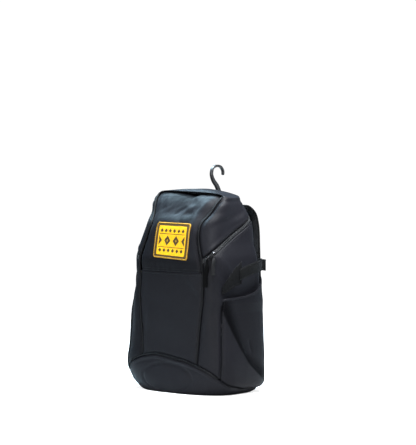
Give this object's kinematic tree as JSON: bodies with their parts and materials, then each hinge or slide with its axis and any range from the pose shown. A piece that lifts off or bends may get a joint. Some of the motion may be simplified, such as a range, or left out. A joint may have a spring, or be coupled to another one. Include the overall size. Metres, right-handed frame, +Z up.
{
  "type": "backpack",
  "caption": "Upright sports backpack in dark cloth with a zipped lid, an arched toe cap, open side pockets under strap loops, padded shoulder straps and a hanging hook.",
  "frame": {"origin": "on the floor under the middle of the body, on the underside of the toe cap", "axes": "+Z up, the front panel faces -Y, the shoulder straps are on the +Y side, +X is the side of the zip sliders"},
  "size_m": [0.3438, 0.2323, 0.533],
  "materials": {
    "shell": "coated woven polyester, charcoal, satin",
    "pad": "matte mesh over foam, black",
    "trim": "woven tape and piping, black",
    "webbing": "ribbed webbing, black",
    "plastic": "moulded, black",
    "metal": "dark zip slider",
    "badge": "woven badge, gold with a black line"
  },
  "bodies": {
    "root": {"front_panel": "shell", "lid_panel": "shell", "top_band": "shell", "back_panel": "pad", "toe_cap": "shell", "toe_piping": "trim", "patch": "badge", "side_panel_left": "shell", "side_panel_right": "shell", "side_pocket_left": "shell", "side_pocket_right": "shell", "zip_left": "trim", "zip_right": "trim", "front_piping_left": "trim", "front_piping_right": "trim", "wing_left": "shell", "wing_right": "shell", "sleeve_strap_left": "webbing", "sleeve_strap_right": "webbing", "shoulder_strap_left": "pad", "shoulder_strap_right": "pad", "webbing_left": "webbing", "webbing_right": "webbing", "adjuster_left": "plastic", "adjuster_right": "plastic", "slider_front": "metal", "slider_rear": "metal", "pull_front": "trim", "pull_rear": "trim", "fence_hook": "plastic", "hook_base": "plastic"}
  },
  "joints": []
}
